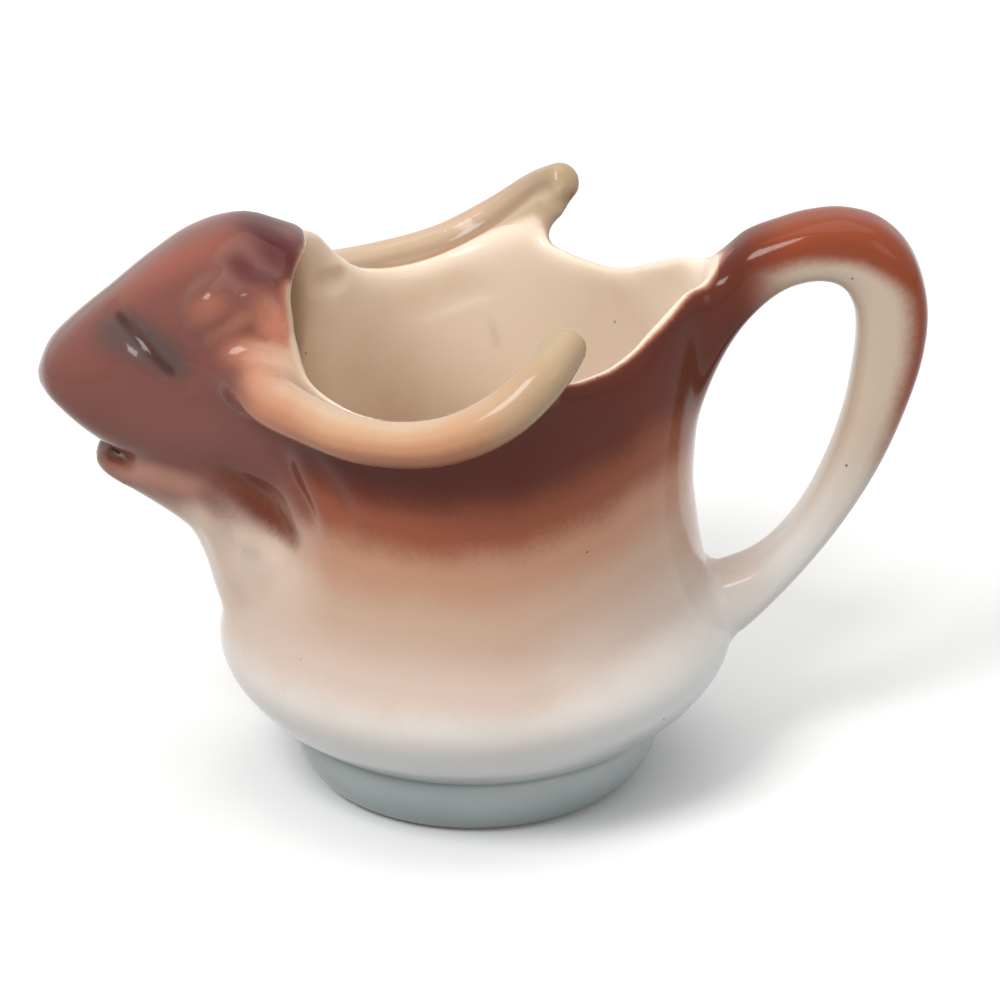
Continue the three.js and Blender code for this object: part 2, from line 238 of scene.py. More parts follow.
def bowlFacing(turn, s):  # the outward direction there
    step = 0.004
    low, high = max(s - step, 0), min(s + step, 1)
    up = bowlSkin(turn, high) - bowlSkin(turn, low)
    around = bowlSkin(turn + step, s) - bowlSkin(turn - step, s)
    return around.cross(up).normalized()


def rimOut(turn):
    facing = bowlFacing(turn, 1)
    return Vector((facing.x, facing.y, 0)).normalized()


def bowlOutside(grow=0.0):
    half = bowl["wall"] / 2
    rimShare, lipShare = 0.9, 0.96

    def shape(turn, t):
        if t <= rimShare:
            s = t / rimShare
            return bowlSkin(turn, s) + bowlFacing(turn, s) * grow
        out, rim = rimOut(turn), bowlSkin(turn, 1)
        if t <= lipShare:
            bend = math.pi * (t - rimShare) / (lipShare - rimShare)
            rise = Vector((0, 0, (half + grow) * math.sin(bend)))
            return rim + out * ((half + grow) * math.cos(bend) - half) + rise
        drop = bowl["tuck"] * (t - lipShare) / (1 - lipShare)
        return rim - out * (2 * half + grow) - Vector((0, 0, drop))
    return toObject("bowlOutside", rolled(bowl["around"], bowl["steps"], shape))


def bowlInside():
    topShare, start = 0.95, 0.12

    def shape(turn, t):
        s = mix(start, 1, min(t / topShare, 1))
        point = bowlSkin(turn, s) - bowlFacing(turn, s) * bowl["wall"]
        lift = bowl["hollowLift"] * max(0, t - topShare) / (1 - topShare)
        point.z = max(point.z, bowl["floor"]) + lift
        if point.x < bowl["headX"]:
            point.z = min(point.z, bowl["headTop"])
        return point
    return toObject("bowlInside", rolled(bowl["around"], bowl["steps"], shape))


# Head
skull = {
    "start": Vector((-26, 0, 79)),
    "dip": math.radians(10),
    "along": [-13, -1, 8, 17, 25, 33, 40, 44.6, 47],
    "top": [14, 18.6, 23.2, 22.4, 18.9, 14.3, 10.2, 6.8, 3.3],
    "bottom": [-30, -30, -29, -25.5, -21.5, -15.2, -8.2, -2.2, 0.8],
    "half": [19, 19.8, 20.2, 19.2, 17, 14.4, 12, 8.4, 2.5],
    "squareness": 2.3,
    "tipInset": 0.04,  # what each millimetre of inset takes off the snout
    "grid": (128, 120),
}
throat = {
    "centre": -22,
    "height": [25, 33, 42, 48.5, 54, 57.6, 60],
    "reach": [40, 43.8, 46.1, 49.6, 57.4, 63.4, 63.2],
    "half": [14, 16.5, 18, 18.6, 18.2, 17, 15.8],
    "squareness": 2.5,
    "grid": (128, 90),
}
hood = {
    "edge": -27.4,
    "slants": {-1: 0.14, 1: -0.06},  # the edge leans forward towards both sides, more on the near one
    "floor": 79,
    "corner": 14,
    "cornerSteps": 16,
    "high": 130,
    "back": 60,
    "broad": 80,
}
face = {"mouth": ((8, 9, 1.6), (-66.4, 0, 61.4))}


def skullForm(inset):
    forward = Vector((-math.cos(skull["dip"]), 0, -math.sin(skull["dip"])))
    up = Vector((-math.sin(skull["dip"]), 0, math.cos(skull["dip"])))
    end = 1 - inset * skull["tipInset"]

    def shape(turn, t):
        s = t * end
        low = through(skull["bottom"], s) + inset
        high = max(through(skull["top"], s) - inset, low + 1)
        half = max(through(skull["half"], s) - inset, 0.5)
        c, h = roundSquare(turn, skull["squareness"])
        lift = (high + low) / 2 + h * (high - low) / 2
        return skull["start"] + forward * through(skull["along"], s) + up * lift + Vector((0, -c * half, 0))
    return toObject("skull", rolled(*skull["grid"], shape))


def throatForm(inset):
    def shape(turn, t):
        c, s = roundSquare(turn, throat["squareness"])
        length = through(throat["reach"], t) + throat["centre"] - inset
        half = through(throat["half"], t) - inset
        return Vector((throat["centre"] - length * c, half * s, through(throat["height"], t)))
    return toObject("throat", rolled(*throat["grid"], shape))


def openTop(side):  # cuts one half of the head open behind the poll
    bm = bmesh.new()
    slant, edge, floor = hood["slants"][side], hood["edge"], hood["floor"]
    corners = ((edge, hood["high"]), (edge, floor), (hood["back"], floor), (hood["back"], hood["high"]))
    verts = [bm.verts.new((x - slant * side, -side, z)) for x, z in corners]
    bm.faces.new(verts)
    bmesh.ops.bevel(bm, geom=[verts[1]], offset=hood["corner"], segments=hood["cornerSteps"], profile=0.5,
                    affect="VERTICES", material=-1)
    made = bmesh.ops.extrude_face_region(bm, geom=list(bm.faces))
    moved = [g for g in made["geom"] if isinstance(g, bmesh.types.BMVert)]
    bmesh.ops.translate(bm, verts=moved, vec=(slant * side * hood["broad"], side * hood["broad"], 0))
    bmesh.ops.recalc_face_normals(bm, faces=bm.faces)
    return toObject("openTop", bm)


# Horns
horn = {
    "path": vectors((-41, 12, 80.5), (-37.3, 19, 79.8), (-32.8, 25.2, 78.8), (-27.5, 30.2, 77.8), (-17, 38, 76.8),
                    (-5.3, 42.2, 78.4), (4.5, 43.2, 83.1), (11.8, 40.4, 89.2), (16.4, 34.6, 93.8)),
    "radius": [4.4, 4.6, 4.5, 4.2, 3.9, 4.0, 4.1, 3.9, 3.3],
    "tip": 0.96,
    "webShare": 0.94,
    "webLean": 0.075,  # the web's back edge leans forward on its way down to the rim
    "webLeanStart": 0.55,
    "webRound": 0.03,
    "gutterSpan": (0.24, 0.93),
    "gutterTurn": math.radians(24),
    "gutterSteps": 12,
    "gutter": (2.6, -2.0),  # half width and depth
    "grid": (64, 180),
    "webGrid": (96, 160),
}


def hornRadius(t):
    end = clamp((t - horn["tip"]) / (1 - horn["tip"]), 0, 0.998)
    return through(horn["radius"], t) * math.sqrt(1 - end ** 2)


def hornFrame(path, t):
    way = wayAlong(path, t)
    across = way.cross(Vector((0, 0, 1))).normalized()
    return through(path, t), across, across.cross(way)


def hornForm(side, grow=0.0):
    path = [mirrored(p, side) for p in horn["path"]]

    def shape(turn, t):
        centre, across, lift = hornFrame(path, t)
        radius = hornRadius(t) + grow * math.sqrt(max(0, 1 - (2 * t - 1) ** 20))
        return centre + across * (math.cos(turn) * radius) + lift * (math.sin(turn) * radius)
    return toObject("horn", rolled(*horn["grid"], shape))


def hull(way, *circles):  # where the skin round a few circles lies in one direction
    centre, radius = max(circles, key=lambda c: c[0].dot(way) + c[1])
    return centre + way * radius


def webForm(side, grow=0.0):  # the wall that carries the horn up from the rim, as thick as the horn beside it
    path = [mirrored(p, side) for p in horn["path"]]

    def shape(turn, t):
        centre, across, lift = hornFrame(path, t)
        under = through(path, t - horn["webLean"] * ease(t, horn["webLeanStart"], 1))
        bearing = math.atan2(under.y, under.x)
        foot = bowlSkin(bearing, 1) - rimOut(bearing) * (bowl["wall"] / 2)
        end = clamp((t - 1 + horn["webRound"]) / horn["webRound"], 0, 0.998)
        full = math.sqrt(1 - end ** 2)
        way = across * math.cos(turn) + lift * math.sin(turn)
        return hull(way, (centre, hornRadius(t) * horn["webShare"] + grow), (foot, bowl["wall"] / 2 * full + grow))
    return toObject("web", rolled(*horn["webGrid"], shape))


def gutterPath(t):  # the shallow gutter under the horn's inner edge, on the near side
    s = mix(*horn["gutterSpan"], t)
    centre = mirrored(through(horn["path"], s), -1)
    outward = Vector((centre.x, centre.y, 0)).normalized()
    turn = horn["gutterTurn"]
    return centre + (Vector((0, 0, 1)) * math.sin(turn) - outward * math.cos(turn)) * hornRadius(s)


gutterLine = tuple(gutterPath(i / horn["gutterSteps"]) for i in range(horn["gutterSteps"] + 1))

# Handle: pairs of points on its inner and outer edge, seen from the side, and its breadth
handle = {
    "inner": vectors((34, 57), (37.4, 64.5), (40.2, 72.4), (43.6, 79.2), (47.4, 84.6), (52, 88.3), (57.2, 89.7),
                     (61.2, 88.6), (63.4, 85), (64, 80.2), (63.6, 74.2), (62.2, 65.6), (59.3, 56.3), (54.8, 46.9),
                     (48.6, 39.6), (41.6, 36.4), (35, 35.2)),
    "outer": vectors((34.6, 85.8), (38.2, 90.4), (41.8, 94), (46, 97.2), (51, 99.1), (56, 100.5), (62, 100.9),
                     (68.2, 99), (73.2, 93.8), (75.8, 85.4), (75.4, 76), (72.3, 65.2), (67.9, 54.8), (61.8, 44.6),
                     (54.4, 34.9), (46.7, 26.5), (38, 19)),
    "broad": [19, 17, 15, 13.6, 13.2, 13, 13, 12.8, 12.4, 12, 11.5, 11.2, 11, 11.2, 12, 13, 14.5],
    "squareness": 3.0,
    "grid": (128, 220),
}


def handleFrame(t):
    inner, outer = through(handle["inner"], t), through(handle["outer"], t)
    return (inner + outer) / 2, (outer - inner) / 2


def handleForm():
    def shape(turn, t):
        middle, half = handleFrame(t)
        c, s = roundSquare(turn, handle["squareness"])
        flat = middle + half * c
        return Vector((flat.x, s * through(handle["broad"], t) / 2, flat.y))
    return toObject("handleLoop", rolled(*handle["grid"], shape))


# Whole body: the castings joined, hollowed, and softened as glaze softens clay
finish = {
    "voxel": 0.5 * mm,
    "soften": 12,
    "filletSteps": 160,
    "factor": 0.5,
    "core": 0.6,  # share of its reach over which a fillet comes to full strength
    "hollowReach": 4,
    "keepInside": (1.0, 2.8),  # the fillets fade out this near to the hollow
}
fillets = (  # two forms, how far the fillet reaches, and the span along X (0) or Z (2) that has it
    ("handle", "bowl", 7, 2, 60, 200), ("handle", "bowl", 2.2, 2, 0, 60), ("skull", "throat", 8, 0, -58.5, 0),
    ("skull", "bowl", 9, 2, 0, 200), ("throat", "bowl", 9, 2, 0, 200), ("leftHorn", "skull", 8, 2, 0, 200),
    ("rightHorn", "skull", 8, 2, 0, 200), ("leftWeb", "bowl", 5, 2, 0, 200), ("rightWeb", "bowl", 5, 2, 0, 200),
    ("leftWeb", "skull", 6, 2, 0, 200), ("rightWeb", "skull", 6, 2, 0, 200),
)
edges = (  # these soften inside as well: two forms, reach and strength
    ("leftWeb", "hollow", 4, 0.6), ("rightWeb", "hollow", 4, 0.6), ("leftWeb", "bowl", 4, 0.6),
    ("rightWeb", "bowl", 4, 0.6), ("bowl", "nearCut", 7, 1), ("bowl", "farCut", 7, 1), ("leftHorn", "skull", 7, 1),
    ("rightHorn", "skull", 7, 1),
)


def closeness(trees, first, second, reach, co):
    far = gapTo(trees[first], co, reach)
    if far < reach:
        far = max(far, gapTo(trees[second], co, reach))
    return ease(1 - far / reach, 0, finish["core"])


def filletGroup(body, trees):
    group = body.vertex_groups.new(name="fillet")
    for v in body.data.vertices:
        place = toBench @ v.co
        weight = max(closeness(trees, first, second, reach, v.co) if low <= place[axis] < high else 0
                     for first, second, reach, axis, low, high in fillets)
        if weight:
            weight *= ease(gapTo(trees["hollow"], v.co, finish["hollowReach"]), *finish["keepInside"])
        soft = max(closeness(trees, first, second, reach, v.co) * share for first, second, reach, share in edges)
        weight = max(weight, soft)
        if weight:
            group.add([v.index], weight, "REPLACE")


def wholeBody():
    parts = {"bowl": bowlOutside(), "skull": skullForm(0), "throat": throatForm(0), "handle": handleForm(),
             "leftHorn": hornForm(-1), "rightHorn": hornForm(1)}
    trees = {name: surfaceTree(obj) for name, obj in parts.items()}
    webs = [webForm(side) for side in (-1, 1)]
    cuts = [openTop(-1), openTop(1), toObject("mouth", ball(*face["mouth"]))]
    trees.update(leftWeb=surfaceTree(webs[0]), rightWeb=surfaceTree(webs[1]))
    trees.update(nearCut=surfaceTree(cuts[0]), farCut=surfaceTree(cuts[1]))
    body, head = parts["bowl"], parts["skull"]
    carve(head, "UNION", parts["throat"])
    carve(head, "DIFFERENCE", *cuts)
    carve(body, "UNION", head, parts["leftHorn"], parts["rightHorn"], parts["handle"], *webs)
    hollow = skullForm(bowl["wall"])
    rest = [throatForm(bowl["wall"]), bowlInside()]
    carve(hollow, "UNION", *rest)
    carve(body, "DIFFERENCE", hollow)
    trees["hollow"] = surfaceTree(hollow)
    discard(*cuts, *webs, *rest, hollow, head, *(parts[n] for n in ("throat", "handle", "leftHorn", "rightHorn")))
    modify(body, "REMESH", mode="VOXEL", voxel_size=finish["voxel"])
    bake(body)
    print("remeshed", len(body.data.vertices), "points")
    modify(body, "SMOOTH", factor=finish["factor"], iterations=finish["soften"])
    bake(body)
    filletGroup(body, trees)
    modify(body, "SMOOTH", factor=finish["factor"], iterations=finish["filletSteps"], vertex_group="fillet")
    bake(body)
    print("fillets softened")
    return body, trees


# Modelling strokes on the near side, copied to the far side: path, half width, height
strokes = {
    "eyeBump": (((-43.4, -17, 90.6), (-42.2, -16.8, 92.2), (-41, -16.3, 93.5)), 6.2, 2.3),
    "lid": (((-46.8, -17.2, 87.8), (-45.9, -16.6, 91), (-44.4, -15.2, 93.2), (-40.8, -14, 95.6)), 3.4, 0.9),
    "browBump": (((-36.2, -15.6, 92.7), (-34.9, -15, 93.3), (-33.6, -14.4, 93.7)), 4.6, 1.1),
    "eyeCrease": (((-37.8, -11.6, 96.8), (-38.5, -15.3, 94.9), (-39.1, -16.9, 92), (-40.6, -17.8, 88.6)), 2.2, -0.8),
    "lowerFold": (((-42.6, -18, 86.6), (-39.8, -17.9, 88.2), (-37.5, -17.5, 89.6), (-34.6, -17.1, 90.6)), 2.4, 0.7),
    "temple": (((-40, -9.5, 98.5), (-33, -10.5, 97.5)), 5, -0.6),
    "nostril": (((-59.4, -6.4, 87.2), (-57, -11, 86.6), (-55.6, -12.8, 85.5), (-53.6, -14.5, 83.8),
                 (-51.6, -15.8, 81.9), (-49.6, -16.6, 80.4), (-46.6, -17.9, 78.8)), 2.2, -1.5),
    "nostrilWing": (((-58, -13, 83), (-54.6, -15.2, 80.6)), 4.4, 0.6),
    "jawLine": (((-58.4, -8.4, 60.3), (-55.2, -11.4, 60.1), (-51.3, -13.6, 60.4), (-47, -15.1, 60.3),
                 (-42.9, -16.1, 60)), 3, 0.4),
    "ridgeA": (((-49.3, -14.4, 58.6), (-46.3, -14.8, 56.5), (-44.5, -15.9, 53.9), (-43.3, -14.4, 47.7),
                (-41.9, -11.9, 40.2)), 3.6, 0.8),
    "ridgeB": (((-43.3, -16, 59.6), (-40.4, -16.9, 56.7), (-38.3, -17.6, 52.3), (-37.3, -16.9, 47.6)), 3.4, 0.9),
    "ridgeC": (((-37.2, -17.4, 50), (-34.9, -18.6, 48.1), (-34.3, -18.8, 46.3), (-35.9, -17.3, 43.4)), 3.2, 1.0),
    "ridgeD": (((-35.4, -18.3, 65.4), (-31.9, -19, 61.6), (-29.9, -21.6, 59.1), (-28.4, -23.7, 55.8)), 4.2, 0.7),
    "ridgeE": (((-30.6, -21.4, 67.4), (-27.4, -25, 64.5), (-24.8, -27.8, 60.7), (-23.4, -28.6, 53)), 4.4, 0.8),
    "ridgeF": (((-24.4, -26.6, 69), (-20.8, -30.2, 66.5), (-18.4, -32, 62.5), (-17.3, -32.5, 57.5)), 4.4, 0.6),
    "valleyA": (((-41, -16.8, 62.4), (-37.4, -16.2, 58.4), (-35, -17, 56.3), (-32.5, -18.8, 54.3),
                 (-29.8, -22.6, 52.6)), 4, -1.1),
    "valleyB": (((-32.6, -19.7, 67), (-29.2, -22.3, 61.2), (-27.1, -25.1, 57), (-26.4, -26.2, 52)), 4.2, -0.5),
    "valleyC": (((-27.5, -24.4, 67.6), (-23.4, -28, 65.4), (-20.9, -30.6, 63.1), (-19.6, -31.1, 58)), 4.2, -0.5),
    "valleyD": (((-47.4, -15.2, 59.8), (-43, -16.2, 55.8), (-41, -15.5, 50.9), (-40, -14, 44)), 3, -0.9),
}
strokes["gutter"] = (gutterLine, *horn["gutter"])
stroking = {
    "perPoint": 8,  # steps along a stroke for each point of its path
    "ends": 0.06,
    "fade": 0.8,
    "sameSide": 0.3,  # only points that face about the same way are moved
    "rounds": 20,
    "factor": 0.5,
}


def model(body, strokes):
    bm = bmesh.new()
    bm.from_mesh(body.data)
    bm.normal_update()
    bm.verts.ensure_lookup_table()
    surface = BVHTree.FromBMesh(bm)
    tree = KDTree(len(bm.verts))
    for v in bm.verts:
        tree.insert(v.co, v.index)
    tree.balance()
    moves = {}
    for path, width, height in strokes.values():
        for side in (-1, 1):
            points = [mirrored(p, -side) for p in path]
            steps = stroking["perPoint"] * len(points)
            shares = {}
            for i in range(steps + 1):
                place, normal, _, _ = surface.find_nearest(toFrame @ through(points, i / steps))
                stage = mix(stroking["ends"], 1 - stroking["ends"], i / steps)
                fade = math.sin(math.pi * stage) ** stroking["fade"]
                for _, index, distance in tree.find_range(place, width * mm):
                    if bm.verts[index].normal.dot(normal) > stroking["sameSide"]:
                        share = fade * (1 - (distance / width / mm) ** 2) ** 2
                        shares[index] = max(shares.get(index, 0), share)
            for index, share in shares.items():
                moves[index] = moves.get(index, 0) + share * height
    relief = bm.verts.layers.float.new("relief")
    for index, move in moves.items():
        v = bm.verts[index]
        v.co += v.normal * (move * mm)
        v[relief] = move
    reliefs = [v[relief] for v in bm.verts]
    touched = [v for v in bm.verts if v[relief]]
    for _ in range(stroking["rounds"]):
        bmesh.ops.smooth_vert(bm, verts=touched, factor=stroking["factor"], use_axis_x=True, use_axis_y=True,
                              use_axis_z=True)
    bm.to_mesh(body.data)
    bm.free()
    print("modelled", len(strokes), "strokes on each side")
    return reliefs, tree


# The body is parted where the mould's pieces meet, so that each piece is a closed mesh of its own
parting = {
    "bowl": 1.4,  # how far the spaces of bowl, head and horns stand outside their forms
    "skull": 1.3,
    "horn": 3,
    "keep": 0.45,  # share of the fine mesh's faces
    "handleX": 25,
    "far": 150,
    "sharp": math.radians(50),
    "normalReach": 0.08,  # points this near to the whole body take its normals, so that no joint shows
}


def slab(low, high):
    bm = bmesh.new()
    size = Matrix.Diagonal((Vector(high) - Vector(low)).to_4d())
    bmesh.ops.create_cube(bm, size=1, matrix=Matrix.Translation((Vector(low) + Vector(high)) / 2) @ size)
    return toObject("slab", bm)


def parted(body):
    modify(body, "DECIMATE", ratio=parting["keep"])
    bake(body)
    body.data.shade_smooth()
    whole = duplicate(body, "whole")
    far = parting["far"]
    bowlSpace = bowlOutside(parting["bowl"])
    backSpace = slab((parting["handleX"], -far, -1), (far, far, far))
    skullSpace = skullForm(-parting["skull"])
    hornSpaces = []
    for side in (-1, 1):
        space = hornForm(side, parting["horn"])
        web = webForm(side, parting["horn"])
        carve(space, "UNION", web)
        carve(space, "DIFFERENCE", skullSpace)
        discard(web)
        hornSpaces.append(space)
    pieces = {"bowl_wall": carve(duplicate(body, "bowl_wall"), "INTERSECT", bowlSpace)}
    carve(body, "DIFFERENCE", bowlSpace)
    pieces["handle_loop"] = carve(duplicate(body, "handle_loop"), "INTERSECT", backSpace)
    carve(body, "DIFFERENCE", backSpace)
    pieces["near_horn"] = carve(duplicate(body, "near_horn"), "INTERSECT", hornSpaces[0])
    pieces["far_horn"] = carve(duplicate(body, "far_horn"), "INTERSECT", hornSpaces[1])
    carve(body, "DIFFERENCE", *hornSpaces)
    body.name = "ox_head"
    pieces["ox_head"] = body
    discard(bowlSpace, backSpace, skullSpace, *hornSpaces)
    for name, piece in pieces.items():
        piece.data.shade_smooth()
        piece.data.set_sharp_from_angle(angle=parting["sharp"])
        modify(piece, "DATA_TRANSFER", object=whole, use_loop_data=True, data_types_loops={"CUSTOM_NORMAL"},
               loop_mapping="POLYINTERP_NEAREST", use_max_distance=True, max_distance=parting["normalReach"] * mm)
        bake(piece)
        print(name, sum(len(p.vertices) - 2 for p in piece.data.polygons), "triangles")
    discard(whole)
    return pieces


# Foot ring
foot = {
    "outline": vectors((21.3, 10.9), (21.3, 6), (21.4, 1.9), (21.9, 0.6), (23, 0), (25.2, 0), (26.6, 0.3), (28.1, 1.3),
                       (29.7, 3.2), (31, 5.8), (31.6, 8.2), (31.6, 10), (31.1, 10.9)),
    "between": 6,
    "around": 192,
}


def footRing():
    bm = bmesh.new()
    count = (len(foot["outline"]) - 1) * foot["between"]
    verts = []
    for i in range(count + 1):
        radius, height = through(foot["outline"], i / count)
        verts.append(bm.verts.new((radius, 0, max(height, 0))))
    verts.append(verts[0])
    lines = [bm.edges.new(pair) for pair in zip(verts, verts[1:])]
    bmesh.ops.spin(bm, geom=verts[:-1] + lines, cent=(0, 0, 0), axis=(0, 0, 1), angle=math.tau,
                   steps=foot["around"], use_merge=True)
    bmesh.ops.remove_doubles(bm, verts=bm.verts, dist=weld)
    bmesh.ops.recalc_face_normals(bm, faces=bm.faces)
    piece = toObject("foot_band", bm)
    piece.data.shade_smooth()
    return piece


# Colour laid on with the spray gun, and some painted light and shade, on the near side and copied to the far side:
# colour, path, half width, strength
airbrush = {
    # lighter blush on the forehead: partly the glaze's own colour, partly painted light on the head's top
    "forehead": ("blush", ((-57, -4.5, 90.3), (-49.7, -6.3, 95.4), (-42.2, -5.9, 99.1)), 8, 0.75),
    # painted highlights: lighter salmon on the eye's bump and on the fold below it
    "eyeHighlight": ("salmon", ((-45, -16.4, 90), (-43, -17.6, 91.6), (-41, -17.6, 92.6)), 4.4, 0.5),
    "foldHighlight": ("salmon", strokes["lowerFold"][0], 2.8, 0.55),
    "cheek": ("mauve", ((-55, -15.4, 71), (-46.6, -17.8, 70.2), (-38.3, -19.6, 70.9), (-31, -20, 68)), 9, 0.6),
    "poll": ("violet", ((-36, -1, 100.1), (-32.9, -4.4, 98.8), (-31.1, -9, 96.3)), 7, 0.9),
    "brow": ("violet", ((-38.5, -10.4, 97), (-36.2, -12.9, 95.6), (-33.3, -12.9, 94.8)), 4.2, 0.85),
    "hoodSide": ("salmon", ((-33.3, -16.4, 90.6), (-31, -19, 87.5), (-28.5, -24, 83)), 6, 0.85),
    "hornRoot": ("salmon", ((-39.2, -18.8, 85.2), (-35.5, -20.5, 84.6), (-31.2, -26, 82.4)), 5, 0.75),
    "muzzle": ("slate", ((-60.1, -9.4, 84.6), (-54.6, -13.7, 84.6), (-49.2, -17, 81.6)), 7, 0.85),
    # near black along the nostril slit: partly dark paint, partly painted shade in the slit
    "nostril": ("soot", ((-58.4, -8, 86.7), (-57, -11, 86.2), (-55.6, -12.8, 85.2), (-53.6, -14.5, 83.5),
                         (-51.6, -15.8, 81.6), (-49.6, -16.6, 80.1)), 1.6, 0.9),
    "jaw": ("rose", ((-61, -3, 59), (-57, -9, 59.4), (-53, -12.6, 59.6), (-46, -15.4, 58.6)), 4.5, 0.85),
    # dark brown along the mouth: partly the lip line's colour, partly painted shade in the mouth's slot
    "mouth": ("umber", ((-69, -1, 61.6), (-63, -5, 61.6), (-57.6, -9.2, 60.8)), 3.2, 1.0),
    # a short darker streak down the near wall, below the horn
    "wallStreak": ("shade", ((3.1, -33, 67), (3.9, -33, 63.6)), 1.7, 0.3),
    "throat": ("cream", ((-46, -14.5, 52), (-43.3, -12, 43.8), (-42.4, -8.5, 34.6)), 6.5, 0.9),
    "dewlap": ("cream", ((-51, -4, 52.5), (-46.5, -3, 46), (-43, -1, 36)), 9, 0.8),
    # pale cream at the end of a lock's ridge: partly the throat's cream, partly a painted highlight on the ridge
    "lockEnd": ("cream", ((-38.9, -17, 50.1), (-36, -17.1, 46.1), (-38.5, -14.4, 40.2)), 5, 0.85),
    # the lock sprays follow the modelled valleys: partly the mane's own brown, partly painted shade in the grooves
    "lockA": ("umber", ((-40.5, -16.8, 61.4), (-37, -16.2, 57.6), (-35, -17, 55.8), (-32.5, -18.8, 53.6),
                        (-30.5, -22, 52.6)), 4.4, 1.0),
    "lockB": ("umber", ((-32.3, -19.7, 66.4), (-29.2, -22.3, 61.2), (-27.1, -25.1, 57)), 3.2, 0.55),
    "lockC": ("umber", ((-27.3, -24.4, 67.2), (-23.4, -28, 65.4), (-20.9, -30.6, 62)), 3.0, 0.6),
    "lockD": ("umber", ((-45, -15.6, 57.6), (-42.4, -16.2, 54)), 2.6, 0.4),
    "gutter": ("shade", gutterLine, 2.2, 0.7),
    # painted shade on the wall under each horn, where the horn's overhang shades it
    "shadeUnderHorn": ("plum", ((-26, -27, 69), (-17, -33.5, 67.5), (-6, -36.6, 68), (6, -37, 71), (18, -33, 76),
                           (28, -24, 80)), 7, 0.75),
}


def evened(values, pairs, rounds):  # each point takes the mean of itself and its neighbours
    for _ in range(rounds):
        total, count = list(values), [1] * len(values)
        for first, second in pairs:
            total[first] += values[second]
            total[second] += values[first]
            count[first] += 1
            count[second] += 1
        values = [t / c for t, c in zip(total, count)]
    return values


# What the glaze needs to know about each point
marking = {
    "hollowReach": 4,
    "facing": (0.1, 0.9),  # a wall's outside faces as the hollow does
    "insideGap": (1.4, 3.4),
    "snout": (-58, -52),  # in front of this the mouth keeps the face's colour
    "hornReach": 4,
    "hornGap": (0.9, 2.6),
    "highest": 2,
    "innerRise": 1.5,  # the horn's inner side counts as its top
    "inward": (0.1, 0.7),
    "turned": (-0.2, 0.3),
    "reliefReach": 1.5,
    "perPoint": 6,
    "ends": 0.15,
    "fade": 0.5,
    "evened": ("inside", "onHorn", "relief"),
    "rounds": 4,
    "lookupSteps": 400,
}


def markPoints(piece, trees, lookups, reliefs):
    mesh = piece.data
    places = [toBench @ v.co for v in mesh.vertices]
    marks = {"inside": [], "onHorn": [], "hornRise": [], "strap": [], "relief": []}
    for v, place in zip(mesh.vertices, places):
        _, facing, _, gap = trees["hollow"].find_nearest(v.co, marking["hollowReach"] * mm)
        away = 1 if facing is None else ease(v.normal.dot(facing), *marking["facing"])
        near = 1 - ease((gap or 0) / mm, *marking["insideGap"])
        marks["inside"].append((1 - away) * near * ease(place.x, *marking["snout"]))
        nearHorn = min(gapTo(trees[name], v.co, marking["hornReach"])
                       for name in ("leftHorn", "rightHorn", "leftWeb", "rightWeb"))
        marks["onHorn"].append(1 - ease(nearHorn, *marking["hornGap"]))
        _, index, _ = lookups["horn"].find((place.x, abs(place.y), place.z))
        t = index / lookups["steps"]
        centre, radius = through(horn["path"], t), through(horn["radius"], t)
        inward = (math.hypot(centre.x, centre.y) - math.hypot(place.x, place.y)) / radius
        turned = ease(-v.normal.xy.dot(place.xy.normalized()), *marking["turned"])  # 1 where it faces the bowl's axis
        rise = clamp((place.z - centre.z) / radius, -marking["highest"], marking["highest"])
        marks["hornRise"].append(mix(rise, marking["innerRise"], ease(inward, *marking["inward"]) * turned))
        _, index, distance = lookups["relief"].find(v.co)
        marks["relief"].append(reliefs[index] if distance < marking["reliefReach"] * mm else 0)
        share = -1
        if v.co.x > parting["handleX"] * mm:
            _, index, _ = lookups["handle"].find((place.x, 0, place.z))
            middle, half = handleFrame(index / lookups["steps"])
            share = (Vector((place.x, place.z)) - middle).dot(half) / half.length_squared
        marks["strap"].append(share)
    tree = KDTree(len(places))
    for index, place in enumerate(places):
        tree.insert(place, index)
    tree.balance()
    for colour, path, width, strength in airbrush.values():
        values = marks.setdefault(colour, [0.0] * len(places))
        for side in (-1, 1):
            points = [mirrored(p, side) for p in path]
            steps = marking["perPoint"] * len(points)
            for i in range(steps + 1):
                stage = mix(marking["ends"], 1 - marking["ends"], i / steps)
                fade = strength * math.sin(math.pi * stage) ** marking["fade"]
                for _, index, distance in tree.find_range(through(points, i / steps), width):
                    values[index] = max(values[index], fade * (1 - (distance / width) ** 2) ** 2)
    pairs = [tuple(edge.vertices) for edge in mesh.edges]
    for name in marking["evened"]:
        marks[name] = evened(marks[name], pairs, marking["rounds"])
    for name, values in marks.items():
        old = mesh.attributes.get(name)
        if old:
            mesh.attributes.remove(old)
        mesh.attributes.new(name, "FLOAT", "POINT").data.foreach_set("value", values)


body, trees = wholeBody()
reliefs, reliefTree = model(body, strokes)
pieces = parted(body)
steps = marking["lookupSteps"]
lookups = {"relief": reliefTree, "handle": KDTree(steps + 1), "horn": KDTree(steps + 1), "steps": steps}
for i in range(steps + 1):
    middle, half = handleFrame(i / steps)
    lookups["handle"].insert((middle.x, 0, middle.y), i)
    lookups["horn"].insert(through(horn["path"], i / steps), i)
lookups["handle"].balance()
lookups["horn"].balance()
pieces["foot_band"] = footRing()
for piece in pieces.values():
    markPoints(piece, trees, lookups, reliefs)
print("points marked")


# Camera at the photograph's angle
view = {
    "aim": Vector((4.4, 0, 49)),
    "distance": 900,
    "elevation": math.radians(24.5),
    "roll": math.radians(-0.4),
    "scale": 5.9,  # pixels to a millimetre in a picture this wide
    "picture": 1000,
    "sensor": 36,
    "clip": (0.01, 20),
}


